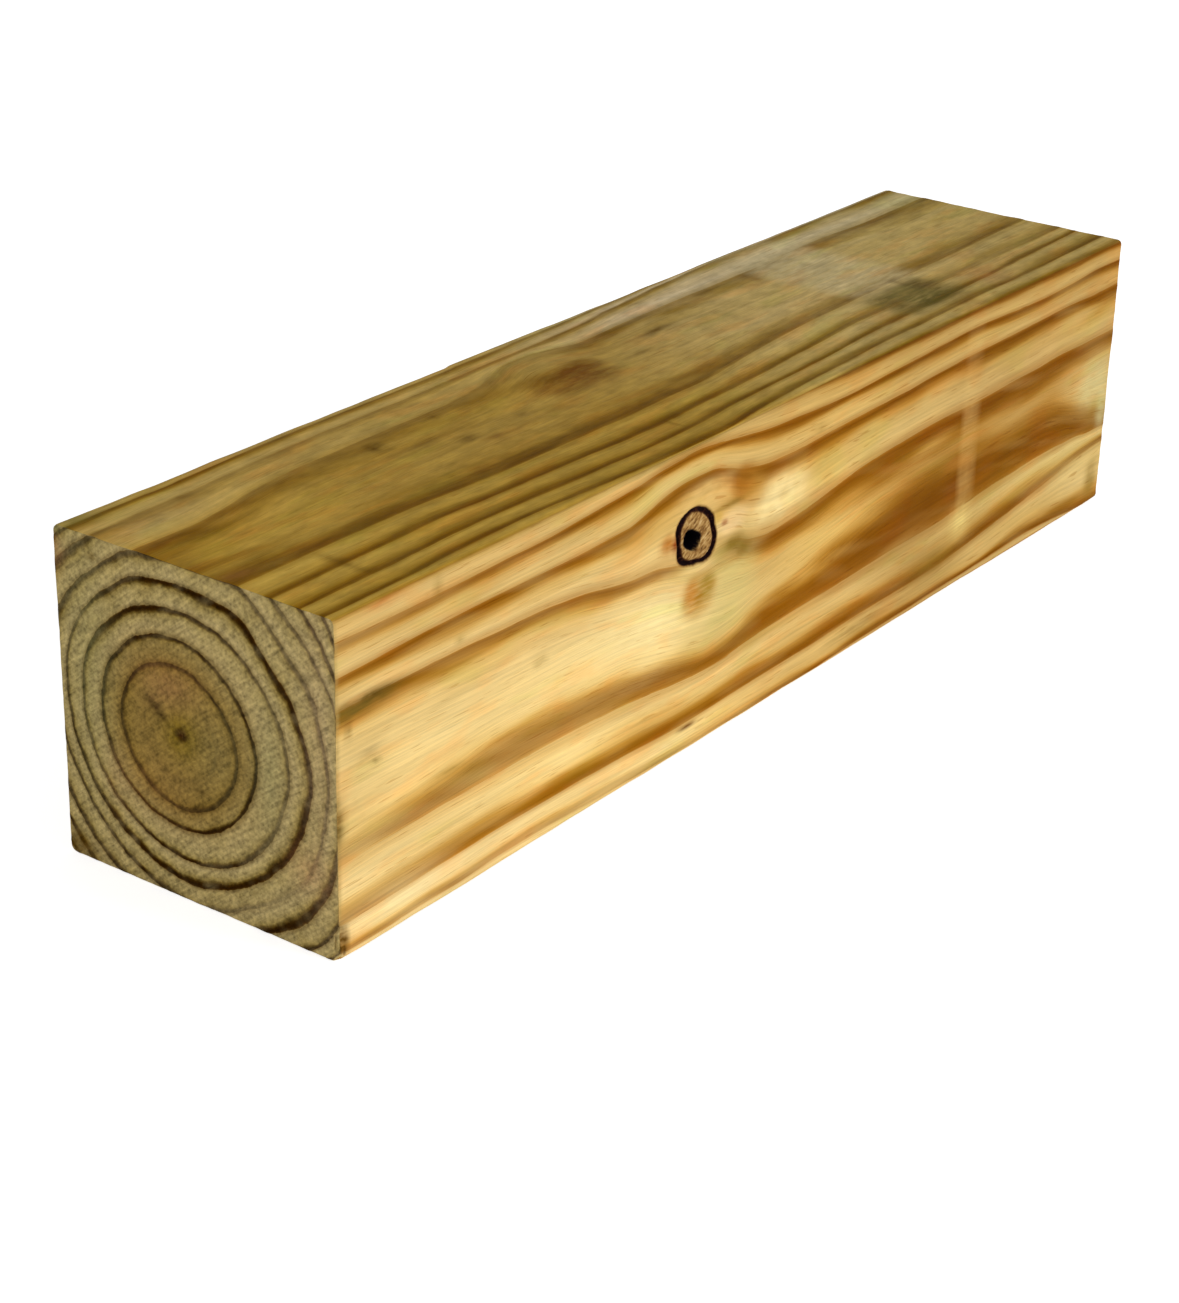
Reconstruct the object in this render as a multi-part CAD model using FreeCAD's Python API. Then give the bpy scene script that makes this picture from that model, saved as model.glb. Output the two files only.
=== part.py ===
# Mailbox post: one sawn length of square, pressure-treated pine, lying on one of its long faces.
#
# The post runs along X, from its butt at -X to its far end at +X. The face at -Y is the one with the knot,
# and the post rests on the face at -Z. The origin is the middle of that resting face, in millimetres.
# It is a single piece of timber, so it is a single solid: a square section with eased long edges, sawn
# square at both ends, with the rotted heart of one dead knot and one corner of the butt broken away.
import FreeCAD, Part
import os

# The timber: a 4 x 4 in post, which is 3 1/2 in square once it is planed, cut off 15 in long.
POST_LENGTH = 381.0
POST_WIDTH = 88.9
POST_HEIGHT = 88.9
# The planer eases the four long edges. The saw leaves the edges of both ends almost sharp.
EASED_EDGE_RADIUS = 2.0
SAWN_EDGE_CHAMFER = 0.4

# The dead knot in the -Y face has lost its heart, which leaves a blind pit with an oval mouth.
PIT_FROM_BUTT = 142.1
PIT_BELOW_TOP = 26.3
PIT_MOUTH_LENGTH = 6.6
PIT_MOUTH_WIDTH = 5.2
PIT_FLOOR_LENGTH = 4.0
PIT_FLOOR_WIDTH = 3.0
PIT_DEPTH = 6.0
# The oval's long axis is turned this far from X, its far side down.
PIT_TILT = 28.0

# The butt's lower corner on the knot's side has broken away along the grain.
BROKEN_CORNER_LENGTH = 4.2
BROKEN_CORNER_HEIGHT = 10.0
BROKEN_CORNER_DEPTH = 2.4

# Cutting shapes start this far outside the timber, so that no cut shares a face with it.
OVERRUN = 1.0

BUTT_X = -POST_LENGTH / 2
KNOT_FACE_Y = -POST_WIDTH / 2
ACROSS_POST = FreeCAD.Vector(0, 1, 0)


def planed_timber():
    """The square timber, with its four long edges rounded over by the planer."""
    blank = Part.makeBox(POST_LENGTH, POST_WIDTH, POST_HEIGHT, FreeCAD.Vector(BUTT_X, KNOT_FACE_Y, 0))
    long_edges = [edge for edge in blank.Edges if edge.BoundBox.XLength > SAWN_EDGE_CHAMFER]
    return blank.makeFillet(EASED_EDGE_RADIUS, long_edges)


def sawn_timber():
    """The planed timber, with a tiny chamfer all round both of its sawn ends."""
    timber = planed_timber()
    end_edges = [edge for edge in timber.Edges if edge.BoundBox.XLength < SAWN_EDGE_CHAMFER]
    return timber.makeChamfer(SAWN_EDGE_CHAMFER, end_edges)


def oval(length, width, depth):
    """An oval outline parallel to the knot's face and depth behind it, its long axis along X."""
    centre = FreeCAD.Vector(0, depth, 0)
    end_of_length = FreeCAD.Vector(length / 2, depth, 0)
    end_of_width = FreeCAD.Vector(0, depth, width / 2)
    return Part.Wire(Part.Ellipse(end_of_length, end_of_width, centre).toShape())


def knot_pit():
    """The hollow of the knot's lost heart: it narrows from its oval mouth to a smaller oval floor."""
    mouth = oval(PIT_MOUTH_LENGTH, PIT_MOUTH_WIDTH, 0)
    floor = oval(PIT_FLOOR_LENGTH, PIT_FLOOR_WIDTH, PIT_DEPTH)
    hollow = Part.makeLoft([mouth, floor], True)
    clearance = Part.Face(mouth).extrude(ACROSS_POST * -OVERRUN)
    pit = hollow.fuse(clearance)
    pit.rotate(FreeCAD.Vector(), ACROSS_POST, PIT_TILT)
    pit.translate(FreeCAD.Vector(BUTT_X + PIT_FROM_BUTT, KNOT_FACE_Y, POST_HEIGHT - PIT_BELOW_TOP))
    return pit


def broken_corner():
    """The missing splinter: a wedge that is thickest at the butt and runs out to nothing along X."""
    outside_x = BUTT_X - OVERRUN
    outside_y = KNOT_FACE_Y - OVERRUN
    run_out_x = BUTT_X + BROKEN_CORNER_LENGTH
    # The broken surface keeps its slope as it is carried on to the overrun in front of the butt.
    slope = BROKEN_CORNER_DEPTH / BROKEN_CORNER_LENGTH
    deepest_y = KNOT_FACE_Y + BROKEN_CORNER_DEPTH + slope * OVERRUN
    sloping_side = [(outside_x, deepest_y), (run_out_x, KNOT_FACE_Y)]
    outer_side = [(run_out_x, outside_y), (outside_x, outside_y)]
    outline = [FreeCAD.Vector(x, y, -OVERRUN) for x, y in sloping_side + outer_side]
    plan = Part.Face(Part.makePolygon(outline + outline[:1]))
    return plan.extrude(FreeCAD.Vector(0, 0, OVERRUN + BROKEN_CORNER_HEIGHT))


def write_part(name, shape):
    """Writes one node's solids to parts/NAME.step, and prints what they measure."""
    os.makedirs("parts", exist_ok=True)
    shape.exportStep(os.path.join("parts", name + ".step"))
    box = shape.BoundBox
    print(f"{name}: {len(shape.Solids)} solid, {box.XLength:.1f} x {box.YLength:.1f} x {box.ZLength:.1f} mm,",
          f"{shape.Volume:.0f} mm3, valid {shape.isValid()}")


post = sawn_timber().cut(knot_pit()).cut(broken_corner())
write_part("post", post)
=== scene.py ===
import math

import bpy
import numpy as np
from mathutils import Matrix, Vector


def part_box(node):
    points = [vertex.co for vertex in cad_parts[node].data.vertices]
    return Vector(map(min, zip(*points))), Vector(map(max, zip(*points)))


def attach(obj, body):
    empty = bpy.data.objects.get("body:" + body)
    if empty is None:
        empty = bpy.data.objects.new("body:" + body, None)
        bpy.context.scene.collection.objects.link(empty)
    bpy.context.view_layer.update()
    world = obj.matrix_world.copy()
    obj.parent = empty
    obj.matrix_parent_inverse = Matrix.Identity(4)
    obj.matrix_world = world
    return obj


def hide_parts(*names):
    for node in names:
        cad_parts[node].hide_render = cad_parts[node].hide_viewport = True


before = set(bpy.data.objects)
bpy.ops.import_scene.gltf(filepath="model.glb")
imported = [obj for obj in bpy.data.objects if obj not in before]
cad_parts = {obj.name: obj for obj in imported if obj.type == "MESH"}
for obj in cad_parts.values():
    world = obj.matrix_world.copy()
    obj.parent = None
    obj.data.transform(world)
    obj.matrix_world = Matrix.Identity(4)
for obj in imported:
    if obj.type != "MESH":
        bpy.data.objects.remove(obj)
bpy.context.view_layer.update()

MM = 0.001
LOW, HIGH = (np.array(corner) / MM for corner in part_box("post"))
LENGTH, WIDTH, HEIGHT = HIGH - LOW
BUTT = LOW[0]
KNOT_FACE, BACK_FACE = LOW[1], HIGH[1]
FLOOR_FACE, TOP_FACE = LOW[2], HIGH[2]


# ---- the growth rings

# The pith's place on the butt and on the far end.
PITH_FROM_BACK = (40.2, 40.0)
PITH_BELOW_TOP = (44.1, 43.8)

# Each ring's outer radius at the butt, every 30 degrees: towards the knot face first, then up.
RING_RADII = np.array([
    [5.2, 5.1, 5.1, 5.2, 5.4, 5.6, 5.7, 5.7, 5.6, 5.5, 5.4, 5.3],
    [11.4, 10.9, 10.9, 11.3, 11.6, 12.2, 12.6, 12.7, 12.7, 12.4, 12.0, 11.6],
    [18.1, 17.0, 17.1, 18.0, 18.8, 19.6, 20.1, 20.2, 20.2, 20.2, 19.3, 18.6],
    [24.1, 23.6, 23.7, 24.7, 25.7, 26.5, 26.5, 26.3, 26.0, 25.2, 24.7, 24.1],
    [33.3, 33.0, 31.7, 31.9, 32.1, 33.5, 33.0, 32.8, 33.0, 33.7, 34.2, 33.6],
    [40.0, 38.6, 38.2, 38.2, 38.9, 39.4, 38.2, 37.8, 38.6, 39.8, 39.6, 39.6],
    [44.8, 44.1, 44.6, 44.3, 44.8, 45.7, 42.9, 41.8, 43.6, 45.7, 45.0, 45.9],
    [49.9, 51.0, 51.0, 51.3, 52.6, 52.6, 49.5, 48.2, 50.1, 51.5, 51.7, 51.6],
    [55.3, 54.9, 57.0, 56.8, 57.0, 56.8, 54.9, 53.1, 55.7, 58.2, 59.6, 57.8],
    [60.4, 59.8, 61.6, 61.5, 61.4, 61.2, 59.8, 57.6, 59.6, 63.2, 64.2, 62.8],
    [65.4, 65.1, 65.9, 65.7, 65.7, 65.5, 64.5, 62.4, 64.2, 67.5, 68.5, 67.5],
    [70.1, 70.1, 70.6, 70.3, 70.1, 69.9, 69.1, 67.1, 68.7, 72.1, 73.0, 72.1],
])
# The far end's rings are this much smaller, as the stem tapers.
TAPER = 0.015


def through(nodes, values, at):
    """Runs a smooth curve through points, without overshoot, and reads it at one place in each row.

    A cubic joins each two neighbours. Its slope at a node is the harmonic mean of the slopes on both sides,
    or level where they point opposite ways. nodes and values are one row for all, or a row for each place.
    """
    nodes, values = np.broadcast_arrays(np.atleast_2d(nodes), np.atleast_2d(values))
    at = np.asarray(at, float)
    nodes = np.broadcast_to(nodes, (len(at), nodes.shape[1]))
    values = np.broadcast_to(values, nodes.shape)
    gaps = np.maximum(np.diff(nodes, axis=1), 1e-6)
    slopes = np.diff(values, axis=1) / gaps
    before, after = slopes[:, :-1], slopes[:, 1:]
    same_way = before * after > 0
    total = np.where(same_way, before + after, 1.0)
    inner = np.where(same_way, 2 * before * after / total, 0.0)
    tangents = np.concatenate([slopes[:, :1], inner, slopes[:, -1:]], axis=1)
    start = np.clip((nodes <= at[:, None]).sum(1) - 1, 0, nodes.shape[1] - 2)[:, None]

    def pick(table, offset=0):
        return np.take_along_axis(table, start + offset, axis=1)[:, 0]

    gap = pick(gaps)
    u = np.clip((at - pick(nodes)) / gap, 0.0, 1.0)
    rise = u * u * (3 - 2 * u)
    leave, arrive = u * (1 - u) ** 2, u * u * (u - 1)
    return (pick(values) * (1 - rise) + pick(values, 1) * rise
            + gap * (pick(tangents) * leave + pick(tangents, 1) * arrive))


def run(points, at):
    """Reads a smooth curve through a short list of (place, value) points."""
    places, values = np.array(points, float).T
    return through(places, values, at)


def round_the_pith(radii, degrees):
    """Reads a closed outline given by its radii at even steps of direction, smoothly, at any direction."""
    step = 360.0 / len(radii)
    place = (np.asarray(degrees) % 360.0) / step
    base = np.floor(place).astype(int)
    u = place - base
    before, here, after, last = (radii[(base + shift) % len(radii)] for shift in (-1, 0, 1, 2))
    return here + 0.5 * u * (after - before + u * (2 * before - 5 * here + 4 * after - last
                                                   + u * (3 * (here - after) + last - before)))


def measured(flat):
    """How far places are from the butt, below the top and from the back."""
    return flat[:, 0] - BUTT, TOP_FACE - flat[:, 2], BACK_FACE - flat[:, 1]


def log_age(x, y, z):
    """The age of the wood, in years from the pith: the place between one ring's radius and the next."""
    along = (x - BUTT) / LENGTH
    pith_y = BACK_FACE - np.interp(along, (0, 1), PITH_FROM_BACK)
    pith_z = TOP_FACE - np.interp(along, (0, 1), PITH_BELOW_TOP)
    towards_knot_face, up = pith_y - y, z - pith_z
    reach = np.hypot(towards_knot_face, up)
    degrees = np.degrees(np.arctan2(up, towards_knot_face))
    inner, age = np.zeros_like(reach), np.zeros_like(reach)
    for years, radii in enumerate(RING_RADII):
        outer = round_the_pith(radii, degrees) * (1 - TAPER * along)
        age = np.where(reach >= inner, years + (reach - inner) / (outer - inner), age)
        inner = outer
    return age


# Where the rings' dark lines run along the knot face: (from butt, below top).
RING_11_AT_ARRIS = [(0, 10.72), (60, 10.7), (100, 10.6), (125, 10.3), (145, 10.15), (165, 10.35),
                    (190, 10.7), (230, 10.93), (280, 10.97), (381, 10.98)]
KNOT_FACE_LINES = [
    (9.94, [(0, 6.6), (35, 6.5), (80, 6.3), (100, 5.5), (115, 4.5), (128, 3), (140, 2.5), (152, 3.2),
        (165, 4.5), (178, 6), (195, 6.9), (215, 7.5), (240, 7.1), (287, 6.2), (305, 6.9), (330, 7.8),
        (350, 7.3), (365, 6.6), (381, 7)]),
    (8.94, [(0, 15.2), (50, 14.8), (100, 15), (111, 14.8), (119, 13.2), (128, 10.9), (138, 9.8), (149, 9.9),
        (158, 12), (166, 14.6), (178, 16.3), (195, 16.8), (220, 16.2), (250, 15.7), (280, 15), (320, 14.6),
        (345, 14.4), (365, 15.2), (381, 15)]),
    (7.9, [(0, 25), (20, 24.7), (50, 25.3), (75, 26), (92, 27.5), (105, 29.8), (115, 31.2), (125, 32),
        (134, 33.8), (145, 36), (156, 35), (162, 35.2), (169, 37.6), (180, 39), (195, 38), (210, 36.4),
        (225, 34.8), (240, 33.8), (270, 33.2), (300, 33.6), (330, 33), (355, 32.2), (381, 31.8)]),
    (None, [(0, 43), (100, 44), (145, 48), (165, 50), (185, 48), (210, 46), (240, 43), (270, 42),
        (300, 41.5), (330, 41.5), (355, 43), (381, 43)]),
    (7.83, [(0, 58), (20, 57), (40, 55.3), (60, 53.4), (80, 54.2), (95, 55.2), (110, 55.8), (125, 58),
        (140, 61), (150, 62.4), (161, 61.2), (170, 58.8), (180, 57), (195, 56.2), (210, 53.2), (225, 50),
        (240, 47.5), (260, 46.5), (300, 45.5), (330, 45.5), (345, 47), (355, 49.5), (370, 52.5),
        (381, 54)]),
    (7.94, [(0, 60.8), (20, 60.2), (40, 59), (60, 57.8), (85, 58.4), (105, 59.2), (120, 60.8), (135, 62.8),
        (148, 64.5), (158, 64.2), (168, 62.5), (180, 61), (195, 60.6), (215, 58.6), (235, 56), (255, 54.8),
        (280, 53.8), (330, 53), (350, 54.4), (365, 57.7), (381, 60)]),
    (8, [(0, 63), (20, 62.4), (45, 62.2), (75, 62.3), (100, 63.2), (125, 65), (140, 66.6), (153, 67.2),
        (163, 66.6), (175, 65.6), (195, 64.8), (220, 64.4), (245, 64), (270, 63.6), (290, 62.3),
        (310, 61.3), (340, 60.5), (355, 60.9), (370, 62.3), (381, 63)]),
    (8.94, [(0, 78.2), (30, 77.6), (60, 77.2), (90, 77.6), (115, 78.2), (140, 79), (165, 78.6), (190, 78.4),
        (215, 78), (245, 77.7), (270, 77.4), (295, 75.6), (320, 73), (345, 70.4), (365, 68.4),
        (381, 67.4)]),
    (9.94, [(0, 86.3), (40, 85.8), (70, 85.3), (100, 86.2), (140, 87), (200, 87.3), (235, 86.5), (270, 86),
        (300, 85.8), (330, 84.8), (350, 85.9), (365, 87.6), (381, 88.3)]),
]
KNOT_FACE_HEART = [(0, 7.45), (100, 7.4), (140, 7.3), (165, 7.4), (185, 7.62), (215, 7.7), (240, 7.77),
                   (300, 7.79), (340, 7.77), (360, 7.6), (381, 7.5)]

# Where they run along the top face: (from butt, from back).
TOP_FACE_LINES = [
    (7.94, [(0, 13), (32, 11.9), (56, 10.7), (85, 9.5), (130, 9.6), (160, 8.8), (194, 8.2), (214, 6.2),
        (245, 4), (276, 2.8), (381, 2.4)]),
    (6.94, [(0, 28.8), (20, 28.6), (32, 27), (46, 23.8), (66, 22.2), (105, 22), (124, 21.4), (139, 19.8),
        (149, 16.6), (159, 13.4), (168, 12.9), (176, 14.8), (189, 18), (209, 17.2), (234, 16.8),
        (270, 17.5), (311, 16), (345, 17.3), (381, 16.8)]),
    (None, [(0, 44), (381, 38)]),
    (6.94, [(0, 58.3), (30, 58.7), (56, 58.8), (85, 60.4), (115, 61.2), (145, 61.3), (180, 61.1),
        (194, 60.2), (214, 58.2), (234, 56.5), (255, 55.4), (276, 54.8), (327, 53.6), (381, 52.4)]),
    (7.94, [(0, 69.6), (28, 69.4), (57, 69.1), (80, 70.1), (105, 70.7), (130, 72.1), (145, 72.6),
        (160, 72.1), (180, 71.1), (194, 70.8), (215, 69.7), (235, 68.7), (255, 67.4), (276, 66.9),
        (317, 66.3), (381, 66.3)]),
    (8.94, [(0, 78.2), (27, 78.2), (57, 77.4), (85, 78.1), (105, 79.1), (134, 80.4), (154, 80), (174, 78.6),
        (194, 77.9), (225, 77), (245, 76), (265, 75.2), (297, 74.4), (327, 73.8), (370, 72.4), (381, 72)]),
    (9.94, [(0, 85.3), (27, 85.4), (52, 84.5), (75, 84.7), (95, 85.7), (115, 87), (135, 87.9), (154, 87.9),
        (174, 86.1), (204, 84.1), (235, 83.1), (265, 82.4), (297, 82.2), (327, 82.3), (381, 81.8)]),
]
TOP_FACE_HEART = [(0, 6.8), (30, 6.65), (80, 6.5), (200, 6.45), (381, 6.5)]

# Inwards from a face, what sets its lines apart from the log's plain rings fades out over this depth.
FIGURE_DEPTH = 28.0


def ease(value, start, end):
    """Rises smoothly from 0 at start to 1 at end."""
    share = np.clip((value - start) / (end - start), 0, 1)
    return share * share * (3 - 2 * share)


def lines_across(lines, width, from_butt):
    """Where a face's lines lie across it, with its two edges, in a row for each place along the post."""
    between = [run(line, from_butt) for _, line in lines]
    return np.stack([np.zeros_like(from_butt), *between, np.full_like(from_butt, width)], 1)


def face_age(from_butt, across, lines, heart, first_edge, last_edge, width):
    """The age of the wood on one face: at each place along it, a curve across it through its lines."""
    between = [run(heart, from_butt) if age is None else np.full_like(from_butt, age) for age, _ in lines]
    ages = np.stack([first_edge, *between, last_edge], 1)
    return through(lines_across(lines, width, from_butt), ages, across)


def near_faces(flat):
    """How near places are to the knot face and to the top face, from 1 on the face to 0 deep in the log."""
    from_top, from_knot_face = TOP_FACE - flat[:, 2], flat[:, 1] - KNOT_FACE
    return 1 - ease(from_knot_face, 0, FIGURE_DEPTH), 1 - ease(from_top, 0, FIGURE_DEPTH)


def ring_ages(flat):
    """The wood's age all over the post. flat holds the places on the square, unrounded timber.

    It is the log's plain age, plus what each figured face differs from it by, which fades out inwards.
    Where both faces' differences reach, the one at their shared edge counts once.
    """
    x, y, z = flat.T
    from_butt, below_top, from_back = measured(flat)
    front = run(RING_11_AT_ARRIS, from_butt)
    low, back = log_age(x, KNOT_FACE, FLOOR_FACE), log_age(x, BACK_FACE, TOP_FACE)
    knot_face = face_age(from_butt, below_top, KNOT_FACE_LINES, KNOT_FACE_HEART, front, low, HEIGHT)
    top_face = face_age(from_butt, from_back, TOP_FACE_LINES, TOP_FACE_HEART, back, front, WIDTH)
    near_knot_face, near_top_face = near_faces(flat)
    return (log_age(x, y, z)
            + near_knot_face * (knot_face - log_age(x, KNOT_FACE, z))
            + near_top_face * (top_face - log_age(x, y, TOP_FACE))
            - near_knot_face * near_top_face * (front - log_age(x, KNOT_FACE, TOP_FACE)))


def years_per_mm(flat, on_knot_face, on_top_face):
    """How fast the age changes across the grain: over the next millimetre, on the gentler side.

    On the two figured faces only the way across the face counts: upwards on the one, sideways on the other.
    """
    age, gentlest = ring_ages(flat), np.inf
    for reach in (-1.0, 1.0):
        sideways = (ring_ages(flat + np.array([0, reach, 0])) - age) * ~on_knot_face
        upwards = (ring_ages(flat + np.array([0, 0, reach])) - age) * (on_knot_face | ~on_top_face)
        gentlest = np.minimum(gentlest, np.hypot(sideways, upwards))
    return gentlest


# How broad a year's dark latewood is, as a share of the year, and how dark: (age, share), (age, darkness).
KNOT_FACE_SHARE = [(0, 0.2), (7.9, 0.2), (8.4, 0.42), (8.98, 0.42), (9.4, 0.34), (9.98, 0.34), (10.4, 0.3),
                   (13, 0.3)]
TOP_FACE_SHARE = [(0, 0.28), (6.98, 0.28), (7.4, 0.42), (13, 0.42)]
SAWN_SHARE = [(0, 0.15), (2, 0.17), (3, 0.19), (4.4, 0.17), (4.98, 0.17), (5.4, 0.27), (13, 0.27)]
SAWN_DARKNESS = [(0, 0.1), (1.98, 0.2), (2.4, 0.6), (3, 0.85), (4, 0.95), (4.9, 0.9), (5.4, 1), (6, 1),
                 (6.4, 0.85), (13, 0.85)]
# Where on the butt a ring is broader or darker: (age, degrees round the pith, half width, share, darkness).
SAWN_ARCS = [
    (4.9, 125, 32, 0.14, 0.2), (4.9, 0, 60, 0, -0.25), (4.9, 270, 30, 0, 0.1),
    (5.9, 40, 30, 0.08, 0), (5.9, -50, 32, 0.16, 0), (5.9, 245, 35, 0.08, 0),
    (5.9, 160, 30, -0.12, -0.2), (6.9, 40, 45, -0.08, -0.2), (6.9, -45, 30, -0.08, -0.5),
    (7.9, 40, 35, -0.05, -0.2), (7.9, -45, 25, 0.12, 0.1), (3.9, 300, 50, 0.04, 0.2),
    (3.9, 60, 40, -0.02, -0.1),
]
# Where on the faces lines are fainter or darker, and narrower or broader:
# (from butt, across, half length, half width, darkness, breadth as a share).
KNOT_FACE_FADES = [
    (12, 6, 24, 3, -0.35, 0), (352, 7.5, 16, 3, -0.3, 0), (6, 60, 16, 8, -0.4, 0),
    (10, 78, 26, 6, -0.35, 0), (135, 86, 60, 2.5, -0.5, 0), (352, 70, 34, 4, -0.35, 0),
    (146, 35, 16, 3.4, -0.95, 0), (60, 86, 50, 3, -0.3, 0), (372, 45, 14, 12, -0.6, 0),
    (55, 60, 75, 14, -0.22, 0), (60, 20, 70, 14, -0.12, 0), (270, 19, 90, 6, 0, -0.3),
    (270, 9, 90, 4, 0, 0.1), (184, 39, 20, 5, 0, 0.6), (300, 33, 90, 4, 0, 0.3), (150, 12, 16, 6, 0, -0.1),
]
TOP_FACE_FADES = [
    (80, 12, 90, 5, -0.55, 0), (60, 22, 150, 6, -0.35, 0), (162, 13, 22, 5, -0.35, -0.3),
    (320, 30, 90, 18, -0.25, 0), (230, 3, 150, 3, -0.2, 0), (290, 60, 100, 9, -0.2, 0),
    (330, 66, 60, 4, -0.4, 0), (300, 83, 90, 3, -0.2, 0),
]


# How far each arc of SAWN_ARCS reaches across its ring, in years.
ARC_REACH = 0.45


def spot(at, across, place, middle, length, width):
    """A soft spot on a face: 1 at its middle, and falling off as a bell curve over its half sizes."""
    return np.exp(-((at - place) / length) ** 2 - ((across - middle) / width) ** 2)


def latewood(flat, age, on_knot_face, on_top_face):
    """How broad and how dark the latewood is at each place. Both change a little along the grain."""
    from_butt, below_top, from_back = measured(flat)
    share, darkness = run(SAWN_SHARE, age), run(SAWN_DARKNESS, age)
    degrees = np.degrees(np.arctan2(PITH_BELOW_TOP[0] - below_top, from_back - PITH_FROM_BACK[0]))
    for ring, middle, half, broader, darker in SAWN_ARCS:
        turn = (degrees - middle + 180) % 360 - 180
        nearby = np.exp(-(turn / half) ** 2 - ((age - ring) / ARC_REACH) ** 4)
        share, darkness = share + broader * nearby, darkness + darker * nearby
    share = np.where(on_top_face, run(TOP_FACE_SHARE, age), share)
    share = np.where(on_knot_face, run(KNOT_FACE_SHARE, age), share)
    darkness = np.where(on_top_face | on_knot_face, 1.0, darkness)
    for chosen, across, fades in ((on_top_face, from_back, TOP_FACE_FADES),
                                  (on_knot_face, below_top, KNOT_FACE_FADES)):
        for *place, darker, broader in fades:
            nearby = chosen * spot(from_butt, across, *place)
            share, darkness = share * (1 + broader * nearby), darkness + darker * nearby
    share = share * (1 + 0.12 * wander(21, flat, (70, 12, 12)))
    darkness = darkness * (1 + 0.08 * wander(22, flat, (50, 10, 10)))
    return np.clip(share, 0.08, 0.6), np.clip(darkness, 0, 1)


# ---- the knot

KNOT_FROM_BUTT, KNOT_BELOW_TOP = 143.6, 26.1
# The outer edge of its bark, every 30 degrees: towards the far end first, then up.
KNOT_OUTLINE = np.array([8.5, 8.0, 7.7, 8.3, 9.4, 10.9, 9.1, 9.6, 8.2, 7.9, 9.7, 10.4])
# How thick the bark is, in the same directions.
BARK_THICKNESS = np.array([2.1, 1.9, 1.7, 1.4, 1.4, 2.3, 1.6, 2.0, 1.4, 1.1, 1.6, 2.4])
PIT_FROM_BUTT, PIT_BELOW_TOP = 141.2, 26.5
PIT_HALF_LENGTH, PIT_HALF_WIDTH = 4.0, 2.6
PIT_TILT = math.radians(26.0)
PIT_DEPTH = 6.0


def knot_rims(from_butt, below_top):
    """How far outside the bark's outer and inner edges a place lies. Both are negative on the knot."""
    along, up = from_butt - KNOT_FROM_BUTT, KNOT_BELOW_TOP - below_top
    reach, degrees = np.hypot(along, up), np.degrees(np.arctan2(up, along))
    outer = round_the_pith(KNOT_OUTLINE, degrees)
    return reach - outer, reach - outer + round_the_pith(BARK_THICKNESS, degrees)


def pit_rim(from_butt, below_top):
    """About how far outside the pit's mouth a place lies: the mouth is an oval whose far side dips."""
    along, down = from_butt - PIT_FROM_BUTT, below_top - PIT_BELOW_TOP
    lengthways = along * math.cos(PIT_TILT) + down * math.sin(PIT_TILT)
    sideways = down * math.cos(PIT_TILT) - along * math.sin(PIT_TILT)
    reach = (np.abs(lengthways / PIT_HALF_LENGTH) ** 3 + np.abs(sideways / PIT_HALF_WIDTH) ** 3) ** (1 / 3)
    return (reach - 1) * PIT_HALF_WIDTH


# The fibre's pattern is drawn as if each line ran straight, from where it is this far from the butt.
PLAIN_PLACE = 70.0


def straightened(from_butt, across, lines, width):
    """Where a place would lie if every line on its face ran straight, so that patterns follow the lines."""
    straight = lines_across(lines, width, np.array([PLAIN_PLACE]))
    return through(lines_across(lines, width, from_butt), straight, across)


def fibre_places(flat):
    """The places that the fibre's pattern is drawn on: shifted so that it follows the faces' lines."""
    from_butt, below_top, from_back = measured(flat)
    sideways = from_back - straightened(from_butt, from_back, TOP_FACE_LINES, WIDTH)
    upwards = below_top - straightened(from_butt, below_top, KNOT_FACE_LINES, HEIGHT)
    near_knot_face, near_top_face = near_faces(flat)
    return flat + np.stack([0 * from_butt, near_top_face * sideways, near_knot_face * upwards], 1)


# ---- stains, dirt and pale places

def paint(red, green, blue):
    """A colour as it looks, 0 to 255, turned into the linear light that the shaders work in."""
    share = np.array([red, green, blue]) / 255
    return np.where(share > 0.04045, ((share + 0.055) / 1.055) ** 2.4, share / 12.92)


OLIVE = (132, 102, 30)
MILDEW = (92, 64, 8)
LICHEN = (206, 192, 118)
GREYED = (178, 148, 86)
CREAM = (253, 232, 168)
BLUSH = (240, 205, 150)

CRISP = 6
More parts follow.
